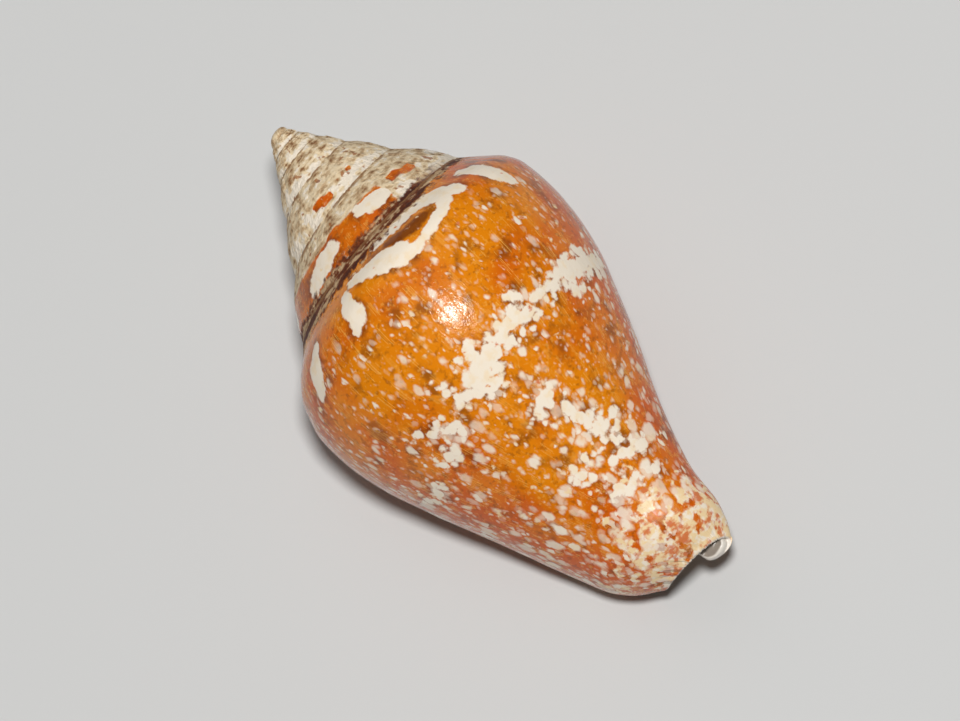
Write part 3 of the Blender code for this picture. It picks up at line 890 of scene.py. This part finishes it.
def relief_group():
    """Raises growth lines, worn pits, teeth, folds and a chipped edge on the shell's plain sheet."""
    nodes = Nodes(bpy.data.node_groups.new("Shell relief", "GeometryNodeTree"))
    given = nodes.inputs({
        "Geometry": "NodeSocketGeometry", "Growth depth": 0.0, "Growth lines": 100.0, "Worn depth": 0.0,
        "Chip depth": 0.0, "Tooth height": 0.0, "Teeth": 12, "Fold height": 0.0, "Folds": 7, "Ground": 0.0,
        "Seed": 0, "Material": "NodeSocketMaterial",
    })

    def fact(name):
        node = nodes.add("GeometryNodeInputNamedAttribute", {"Name": name}, data_type="FLOAT")
        return node.outputs["Attribute"]

    def scaled(vector, amount):
        return nodes.add("ShaderNodeVectorMath", {0: vector, "Scale": amount}, operation="SCALE").outputs[0]

    def noise_along(place, detail):
        inputs = {"W": nodes.plus(place, shift), "Detail": detail}
        return nodes.add("ShaderNodeTexNoise", inputs, noise_dimensions="1D").outputs["Fac"]

    turn, share, lining, worn = (fact(name) for name in ("turn", "share", "lining", "worn"))
    seam_fade = nodes.rise(share, *SEAM_FADE_SHARES)
    shift = nodes.times(given["Seed"], SEED_STEP)
    slanted = nodes.plus(nodes.times(turn, given["Growth lines"]), nodes.times(share, GROWTH_SLANT))
    growth = nodes.times(
        nodes.less(noise_along(slanted, GROWTH_DETAIL), NOISE_MIDDLE), GROWTH_GAIN, given["Growth depth"],
        nodes.less(1.0, lining), seam_fade, nodes.rise(share, *GROWTH_FADE_SHARES),
    )
    position = nodes.add("GeometryNodeInputPosition").outputs[0]
    crumbs = nodes.add(
        "ShaderNodeTexNoise",
        {"Vector": position, "W": shift, "Scale": CRUMBS_PER_METRE, "Detail": CRUMB_DETAIL},
        noise_dimensions="4D",
    )
    crumb_height = nodes.less(crumbs.outputs["Fac"], CRUMB_MIDDLE)
    heights = [growth, nodes.times(crumb_height, CRUMB_GAIN, given["Worn depth"], worn, seam_fade)]
    for ridges in RIDGE_ROWS:
        inputs = {
            "Turn": turn, "Share": share, "Middle turn": ridges.middle_turn, "Reach": ridges.reach,
            "First share": ridges.first_share, "Last share": ridges.last_share,
            "Count": given[ridges.count], "Height": given[ridges.height],
        }
        row = nodes.add("GeometryNodeGroup", inputs, node_tree=bpy.data.node_groups["Ridge row"])
        where = nodes.rise(lining, *LINED_LEVELS) if ridges.only_lined else 1.0
        heights.append(nodes.times(row.outputs["Height"], where))
    normal = nodes.add("GeometryNodeInputNormal").outputs["Normal"]
    raised = scaled(normal, nodes.plus(*heights))

    chips = nodes.rise(noise_along(nodes.times(turn, CHIPS_PER_TURN), CHIP_DETAIL), *CHIP_LEVELS)
    before_opening_ends = nodes.rise(turn, -OPENING_TURNS, -OPENING_TURNS + CHIP_FADE_TURNS)
    at_edge = nodes.times(nodes.rise(share, *CHIP_SHARES), before_opening_ends)
    back = Matrix.Rotation(math.radians(TIP_DEG), 3, "Y") @ Vector((-1.0, 0.0, 0.0))
    chipped = scaled(back, nodes.times(chips, at_edge, given["Chip depth"]))
    offset = nodes.add("ShaderNodeVectorMath", {0: raised, 1: chipped}, operation="ADD").outputs[0]

    # What lay below the ground is cut flat, which leaves the worn flats that the shell rests on.
    place = nodes.add("ShaderNodeSeparateXYZ", {0: position}).outputs
    above = nodes.most(place["Z"], given["Ground"])
    rested = nodes.add("ShaderNodeCombineXYZ", {"X": place["X"], "Y": place["Y"], "Z": above}).outputs[0]
    geometry = given["Geometry"]
    for kind, inputs in (
        ("GeometryNodeSetPosition", {"Offset": offset}),
        ("GeometryNodeSetPosition", {"Position": rested}),
        ("GeometryNodeRealizeInstances", {}),
        ("GeometryNodeSetMaterial", {"Material": given["Material"]}),
    ):
        geometry = nodes.add(kind, {"Geometry": geometry, **inputs}).outputs[0]
    nodes.output("Geometry", "NodeSocketGeometry", geometry)
    return nodes.tree


def grown_mesh(mesh, relief, material):
    """The plain sheet with its relief, as a plain mesh."""
    ridge_row_group()
    carrier = bpy.data.objects.new("shell_sheet", mesh)
    bpy.context.collection.objects.link(carrier)
    modifier = carrier.modifiers.new("Relief", "NODES")
    modifier.node_group = relief_group()
    values = {name.replace("_", " ").capitalize(): getattr(relief, name) for name in relief.__annotations__}
    values.update({"Ground": SHELL_LOW.z, "Material": material})
    for item in modifier.node_group.interface.items_tree:
        if item.name in values:
            modifier[item.identifier] = values[item.name]
    bpy.context.view_layer.update()
    seen = carrier.evaluated_get(bpy.context.evaluated_depsgraph_get())
    grown = bpy.data.meshes.new_from_object(seen)
    bpy.data.objects.remove(carrier)
    grown.name = "dove_shell"
    grown.shade_smooth()
    return grown


def speckle_group():
    """Dots of many sizes and strengths, which run together where their size rises."""
    nodes = Nodes(bpy.data.node_groups.new("Speckles", "ShaderNodeTree"))
    given = nodes.inputs({
        "Vector": "NodeSocketVector", "Cell size": 0.5, "Dot size": 0.3, "Variety": 0.5, "Softness": 0.06,
        "Fading": 0.5,
    })
    scale = nodes.over(1.0, given["Cell size"])
    cells = nodes.add("ShaderNodeTexVoronoi", {"Vector": given["Vector"], "Scale": scale}).outputs
    lots = nodes.add("ShaderNodeSeparateColor", {"Color": cells["Color"]}).outputs
    variety = nodes.times(nodes.less(lots["Red"], NOISE_MIDDLE), 2.0, given["Variety"])
    edge = nodes.times(given["Dot size"], nodes.plus(variety, 1.0))
    softness = given["Softness"]
    dots = nodes.rise(cells["Distance"], nodes.plus(edge, softness), nodes.less(edge, softness))
    strength = nodes.less(1.0, nodes.times(lots["Green"], given["Fading"]))
    nodes.output("Mask", "NodeSocketFloat", nodes.times(dots, strength))


def growth_streak_group():
    """Fine streaks along the growing lip, broken into dashes."""
    nodes = Nodes(bpy.data.node_groups.new("Growth streaks", "ShaderNodeTree"))
    given = nodes.inputs({
        "Turn": 0.0, "Vector": "NodeSocketVector", "Lines per turn": 300.0, "Dash size": 0.4,
    })
    line_inputs = {"W": nodes.times(given["Turn"], given["Lines per turn"]), "Detail": STREAK_DETAIL}
    lines = nodes.add("ShaderNodeTexNoise", line_inputs, noise_dimensions="1D")
    stretched = nodes.add("ShaderNodeMapping", {"Vector": given["Vector"], "Scale": STREAK_STRETCH})
    gap_inputs = {"Vector": stretched.outputs["Vector"], "Scale": nodes.over(1.0, given["Dash size"])}
    gaps = nodes.add("ShaderNodeTexNoise", gap_inputs)
    gate = nodes.rise(gaps.outputs["Fac"], *STREAK_GAPS)
    nodes.output("Height", "NodeSocketFloat", nodes.times(lines.outputs["Fac"], gate))


class SkinNodes(Nodes):
    """The nodes of the shell's material, with its colours and where each point of the skin lies."""

    def __init__(self, tree, colours):
        super().__init__(tree)
        self.palette = {name: (*getattr(colours, name), 1.0) for name in colours.__annotations__}
        whorl = self.add("ShaderNodeUVMap", uv_map="whorl").outputs["UV"]
        whorl_parts = self.add("ShaderNodeSeparateXYZ", {0: whorl}).outputs
        self.turn, self.share = whorl_parts["X"], whorl_parts["Y"]
        own_frame = {
            "Vector": self.add("ShaderNodeTexCoord").outputs["Object"],
            "Rotation": Euler((0.0, math.radians(-TIP_DEG), 0.0)),
            "Scale": (1 / MM, 1 / MM, 1 / MM),
        }
        self.place = self.add("ShaderNodeMapping", own_frame).outputs["Vector"]

    def fact(self, name):
        return self.add("ShaderNodeAttribute", attribute_name=name).outputs["Fac"]

    def group(self, name, inputs):
        """A node group's only output, with some of its inputs set."""
        return self.add("ShaderNodeGroup", inputs, node_tree=bpy.data.node_groups[name]).outputs[0]

    def mix(self, factor, *colours):
        """From the first colour to the second, each a socket or the name of one of the shell's colours."""
        first, second = (self.palette[colour] if isinstance(colour, str) else colour for colour in colours)
        node = self.add("ShaderNodeMix", {"Factor": factor}, data_type="RGBA")
        self.feed(node.inputs["A"], first)
        self.feed(node.inputs["B"], second)
        return node.outputs["Result"]

    def painted(self, colour, *layers):
        """A colour with layers over it, each an amount and the colour that it brings."""
        for amount, layer in layers:
            colour = self.mix(amount, colour, layer)
        return colour

    def shaded(self, amount, colour, shades):
        """A colour that changes to each of the shades in turn as the amount rises."""
        return self.painted(colour, *((self.rise(amount, *levels), name) for name, *levels in shades))

    def noise(self, size, detail=3.0, vector=None):
        """Soft noise between 0 and 1, with features of a size in millimetres unless it has its own vector."""
        inputs = {"Vector": self.place if vector is None else vector, "Scale": 1.0 / size, "Detail": detail}
        return self.add("ShaderNodeTexNoise", inputs).outputs["Fac"]

    def swing(self, kind):
        return self.times(self.less(self.noise(kind.size, kind.detail), NOISE_MIDDLE), kind.reach)

    def mask(self, pattern):
        noise = self.noise(pattern.size, pattern.detail)
        return self.rise(noise, pattern.start, pattern.full, pattern.strength)

    def grain(self, kind):
        inputs = {"X": self.times(self.turn, kind.per_turn), "Y": self.times(self.share, kind.per_share)}
        along = self.add("ShaderNodeCombineXYZ", inputs).outputs["Vector"]
        drawn_out = self.times(self.noise(1.0, kind.along_detail, along), kind.along_part)
        return self.plus(drawn_out, self.times(self.noise(kind.size, kind.detail), 1 - kind.along_part))


def ground_colour(skin, streaks):
    """The amber ground: gold over the back, russet towards the front, painted shade in russet towards the
    sides, with a fine mottle and streaks that are partly painted glints.
    """
    # Painted shade: russet rises away from the lit back towards the sides, where the whorl curves away from
    # the light.
    from_back = skin.math("ABSOLUTE", skin.less(skin.turn, BACK_TURN))
    russet = skin.plus(
        skin.times(skin.noise(DRIFT_SIZE_MM), RUSSET_BY_DRIFT), skin.rise(from_back, *PAINTED_SHADE_AT_SIDES),
        skin.times(skin.share, RUSSET_AT_FRONT), RUSSET_ANYWHERE,
    )
    mottle = ((skin.mask(pattern), colour) for pattern, colour in MOTTLE)
    # Pale streaks along the growth lines: partly their own colour, partly painted glints.
    lines = skin.rise(skin.plus(streaks, skin.rise(skin.turn, *LIP_STREAKS)), *STREAK_LEVELS)
    return skin.painted("gold", (skin.rise(russet, *RUSSET_LEVELS), "russet"), *mottle, (lines, "streak"))


def dot_amount(skin, patches):
    """Cream dots that grow near the lip and the patches, and run together towards the front end."""
    stretched = skin.add("ShaderNodeMapping", {"Vector": skin.place, "Scale": DOT_STRETCH}).outputs["Vector"]
    push = skin.add("ShaderNodeTexNoise", {"Vector": stretched, "Scale": 1.0 / DOT_PUSH_MM}).outputs["Color"]
    pushed = {0: push, 1: (DOT_PUSH_MM, DOT_PUSH_MM, DOT_PUSH_MM), 2: stretched}
    spots = skin.add("ShaderNodeVectorMath", pushed, operation="MULTIPLY_ADD").outputs[0]
    growth = skin.plus(
        skin.rise(skin.turn, *DOT_LIP_GROWTH), skin.rise(patches, *DOT_PATCH_GROWTH), skin.swing(DOT_CROWDING)
    )
    layers = (
        skin.group("Speckles", {
            "Vector": spots, "Cell size": dots.cell,
            "Dot size": skin.plus(
                dots.size, skin.rise(skin.share, *DOT_FRONT_SHARES, dots.front_growth), growth
            ),
            "Variety": dots.variety, "Softness": dots.softness, "Fading": dots.fading,
        })
        for dots in DOT_LAYERS
    )
    return skin.times(skin.most(*layers), skin.rise(skin.share, *DOT_TOP_SHARES))


def cream_amount(skin, cream, patches):
    """Flames and patches with lobed, ragged edges, and dots."""
    lobes = skin.add("ShaderNodeTexVoronoi", {"Vector": skin.place, "Scale": 1 / LOBE_MM}).outputs["Distance"]
    ragged = skin.less(LOBE_LEVEL, lobes)
    wobble = skin.swing(MARK_WOBBLE)

    def shown(depth, edge):
        swollen = skin.plus(
            depth, edge.swell, skin.times(wobble, edge.wobble), skin.times(ragged, edge.lobes)
        )
        return skin.rise(swollen, edge.start, edge.full)

    return skin.most(shown(cream, FLAME_EDGE), shown(patches, PATCH_EDGE), dot_amount(skin, patches))


def front_amount(skin):
    """Cream in blotches that cover more and more towards the front end, and less of it near the lip."""
    cover = skin.times(skin.rise(skin.share, *FRONT_SHARES), skin.rise(skin.turn, *FRONT_COVER))
    return skin.rise(skin.plus(skin.noise(FRONT_BLOTCH_MM, FRONT_DETAIL), cover), *FRONT_LEVELS)


def front_colour(skin):
    """The front end: yellowish cream with brown marbling that follows the whorl."""
    marbling = skin.rise(skin.grain(MARBLING), *MARBLING_LEVELS)
    return skin.painted("front_cream", (skin.mask(FRONT_PALENESS), "cream"), (marbling, "russet"))


def worn_colour(skin):
    """The worn spire: crumbly grey-brown and cream, with a broken cream band at the foot of each whorl."""
    across = skin.over(skin.share, SEAM_SHARE)
    band = skin.times(
        skin.rise(skin.plus(across, skin.swing(BAND_WOBBLE)), *BAND_PARTS),
        skin.rise(skin.turn, *SPIRE_TURNS), skin.mask(BAND_GAPS),
    )
    crumbs = skin.plus(skin.grain(WORN_CRUMBS), band, skin.swing(WORN_DRIFT))
    return skin.mix(skin.mask(RUST_FLECKS), skin.shaded(crumbs, "worn_dark_and_seam_shade", WORN_SHADES), "rust")


def seam_amount(skin):
    """The crumbly strips on both sides of the body whorl's seam, and the broken dark line of painted shade in
    every seam's crease.
    """
    crumble = skin.swing(SEAM_WOBBLE)
    down = skin.plus(skin.share, skin.times(crumble, STRIP_WOBBLE))
    down = skin.less(down, skin.rise(skin.turn, *WIDER_STRIP))
    strip = skin.times(skin.rise(down, *STRIP_SHARES), skin.rise(skin.turn, *STRIP_TURNS))
    across = skin.plus(skin.over(skin.share, SEAM_SHARE), skin.times(crumble, FOOT_WOBBLE))
    foot = skin.times(
        skin.rise(across, *FOOT_PARTS), skin.rise(skin.turn, *SPIRE_TURNS), skin.rise(skin.turn, *FOOT_TURNS),
        skin.rise(skin.share, SEAM_SHARE + FOOT_FADE, SEAM_SHARE),
    )
    at_seam = skin.rise(skin.plus(skin.share, skin.times(crumble, LINE_WOBBLE)), *LINE_SHARES)
    line = skin.times(at_seam, skin.mask(LINE_GAPS), skin.rise(skin.turn, *LINE_TURNS))
    return skin.most(strip, foot), line


def seam_colour(skin):
    """Dark red-brown crumbs with worn grey ones between them, drawn out along the seam."""
    return skin.shaded(skin.grain(SEAM_CRUMBS), "maroon", SEAM_SHADES)


def shell_material(colours):
    """The glazed, flecked skin, the worn spire and the porcelain lining, told apart by the attributes."""
    material = bpy.data.materials.new("dove_shell")
    material.use_nodes = True
    surface = material.node_tree.nodes["Principled BSDF"]
    skin = SkinNodes(material.node_tree, colours)
    lining, hollow, worn, cream, patches, dark = (
        skin.fact(name) for name in ("lining", "hollow", "worn", "cream", "patches", "dark")
    )
    streaks = skin.group("Growth streaks", {
        "Turn": skin.turn, "Vector": skin.place, "Lines per turn": STREAKS_PER_TURN, "Dash size": DASH_MM,
    })
    wobble = skin.swing(EDGE_WOBBLE)
    near_mark = skin.rise(skin.plus(skin.most(cream, patches), wobble), *RIM_DEPTHS)
    bare = skin.rise(skin.plus(worn, skin.times(wobble, BARE_WOBBLE)), *BARE_LEVELS)
    seam, line = seam_amount(skin)
    outside = skin.painted(
        ground_colour(skin, streaks),
        (skin.rise(skin.plus(dark, wobble), *DARK_DEPTHS), "umber"),
        (skin.times(near_mark, skin.mask(RIM_SHADE)), "umber"),
        (cream_amount(skin, cream, patches), skin.mix(skin.mask(STAIN), "cream", "front_cream")),
        (front_amount(skin), front_colour(skin)),
        (bare, worn_colour(skin)),
        (seam, seam_colour(skin)),
        # Painted shade: a broken dark line in the crease of every seam.
        (line, "worn_dark_and_seam_shade"),
    )
    # Painted shade: the lining darkens to grey-brown in the hollow beside the pillar's end, where the lip's
    # shadow falls.
    porcelain = skin.mix(skin.rise(hollow, *HOLLOW_DEPTHS), "lining", "hollow")
    skin.feed(surface.inputs["Base Color"], skin.mix(skin.rise(lining, *LINING_LEVELS), outside, porcelain))

    dull = skin.most(worn, seam)
    roughness = skin.plus(
        GLAZE_ROUGHNESS, skin.times(dull, DULL_ROUGHNESS),
        skin.times(skin.noise(UNEVEN_MM), UNEVEN_ROUGHNESS),
        skin.rise(skin.share, *FRONT_ROUGHNESS),
    )
    skin.feed(surface.inputs["Roughness"], roughness)
    surface.inputs["Specular IOR Level"].default_value = GLAZE_SHINE
    height = skin.plus(
        skin.times(streaks, STREAK_BUMP),
        skin.times(skin.noise(CRUMB_MM, CRUMB_BUMP_DETAIL), dull, CRUMB_BUMP),
        skin.times(skin.noise(PEEL_MM), PEEL_BUMP), skin.times(skin.noise(FINE_PEEL_MM), FINE_PEEL_BUMP),
    )
    bump = skin.add("ShaderNodeBump", {"Height": height, "Distance": BUMP_DISTANCE, "Strength": 1.0})
    skin.feed(surface.inputs["Normal"], bump.outputs["Normal"])
    return material


class DOVESHELL_OT_make_shell(bpy.types.Operator):
    """Builds the dove shell and hides the plain solid that it stands for"""

    bl_idname = "dove_shell.make_shell"
    bl_label = "Make the shell"

    def execute(self, context):
        speckle_group()
        growth_streak_group()
        material = shell_material(context.scene.dove_shell_colours)
        mesh = grown_mesh(shell_mesh(), context.scene.dove_shell_relief, material)
        shell = bpy.data.objects.new("dove_shell", mesh)
        context.collection.objects.link(shell)
        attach(shell, "root")
        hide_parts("shell")
        return {"FINISHED"}


def camera_turn():
    """The direction from the shell to the camera, and the camera's rotation with its roll."""
    azimuth, elevation = math.radians(CAMERA_AZIMUTH_DEG), math.radians(CAMERA_ELEVATION_DEG)
    level, up = math.cos(elevation), math.sin(elevation)
    towards = Vector((level * math.cos(azimuth), level * math.sin(azimuth), up))
    upright = towards.to_track_quat("Z", "Y").to_matrix()
    return towards, upright @ Matrix.Rotation(math.radians(CAMERA_ROLL_DEG), 3, "Z")


def add_camera(scene):
    towards, turn = camera_turn()
    data = bpy.data.cameras.new("camera")
    data.lens = data.sensor_width * CAMERA_DISTANCE / VIEW_WIDTH
    data.clip_start = NEAR_CLIP
    data.dof.use_dof = False
    camera = bpy.data.objects.new("camera", data)
    camera.matrix_world = Matrix.Translation(CAMERA_TARGET + towards * CAMERA_DISTANCE) @ turn.to_4x4()
    scene.collection.objects.link(camera)
    scene.camera = camera
    return turn


def add_light(scene, name, settings, power, view):
    """A round area light that faces the shell from a direction that the camera sees."""
    data = bpy.data.lights.new(name, "AREA")
    data.shape = "DISK"
    data.size = settings.size
    data.energy = power
    light = bpy.data.objects.new(name, data)
    direction = view @ Vector(settings.direction).normalized()
    turn = direction.to_track_quat("Z", "Y").to_matrix().to_4x4()
    light.matrix_world = Matrix.Translation(CAMERA_TARGET + direction * settings.distance) @ turn
    scene.collection.objects.link(light)


class DOVESHELL_OT_set_stage(bpy.types.Operator):
    """Sets the plain floor, the soft studio lights and the photograph's camera"""

    bl_idname = "dove_shell.set_stage"
    bl_label = "Set the stage"

    def execute(self, context):
        scene = context.scene
        studio = scene.dove_shell_studio
        mesh = bpy.data.meshes.new("floor")
        corners = ((-1, -1), (1, -1), (1, 1), (-1, 1))
        places = [(x * FLOOR_HALF_SIZE, y * FLOOR_HALF_SIZE, SHELL_LOW.z) for x, y in corners]
        mesh.from_pydata(places, [], [(0, 1, 2, 3)])
        material = bpy.data.materials.new("studio_floor")
        material.use_nodes = True
        surface = material.node_tree.nodes["Principled BSDF"]
        surface.inputs["Base Color"].default_value = (*studio.floor_colour, 1.0)
        surface.inputs["Roughness"].default_value = FLOOR_ROUGHNESS
        mesh.materials.append(material)
        floor = bpy.data.objects.new("floor", mesh)
        scene.collection.objects.link(floor)

        turn = add_camera(scene)
        add_light(scene, "key", KEY, studio.key_power, turn)
        add_light(scene, "fill", FILL, studio.fill_power, turn)

        world = bpy.data.worlds.new("studio")
        world.use_nodes = True
        background = world.node_tree.nodes["Background"]
        background.inputs["Color"].default_value = (1.0, 1.0, 1.0, 1.0)
        background.inputs["Strength"].default_value = studio.sky_strength
        scene.world = world
        scene.view_settings.view_transform = "Standard"
        return {"FINISHED"}


class DOVESHELL_PT_panel(bpy.types.Panel):
    """Lists the shell's settings and the steps that build it"""

    bl_idname = "DOVESHELL_PT_panel"
    bl_label = "Dove shell"
    bl_space_type = "VIEW_3D"
    bl_region_type = "UI"
    bl_category = "Dove shell"

    def draw(self, context):
        scene = context.scene
        for group in (scene.dove_shell_relief, scene.dove_shell_colours, scene.dove_shell_studio):
            column = self.layout.column()
            for name in group.__annotations__:
                column.prop(group, name)
        self.layout.operator(DOVESHELL_OT_make_shell.bl_idname)
        self.layout.operator(DOVESHELL_OT_set_stage.bl_idname)


CLASSES = (
    ShellRelief,
    ShellColours,
    StudioSettings,
    DOVESHELL_OT_make_shell,
    DOVESHELL_OT_set_stage,
    DOVESHELL_PT_panel,
)


def register():
    for cls in CLASSES:
        bpy.utils.register_class(cls)
    bpy.types.Scene.dove_shell_relief = bpy.props.PointerProperty(type=ShellRelief)
    bpy.types.Scene.dove_shell_colours = bpy.props.PointerProperty(type=ShellColours)
    bpy.types.Scene.dove_shell_studio = bpy.props.PointerProperty(type=StudioSettings)


def unregister():
    del bpy.types.Scene.dove_shell_studio
    del bpy.types.Scene.dove_shell_colours
    del bpy.types.Scene.dove_shell_relief
    for cls in reversed(CLASSES):
        bpy.utils.unregister_class(cls)


def main():
    register()
    bpy.ops.dove_shell.set_stage()
    bpy.ops.dove_shell.make_shell()


if __name__ == "__main__":
    main()
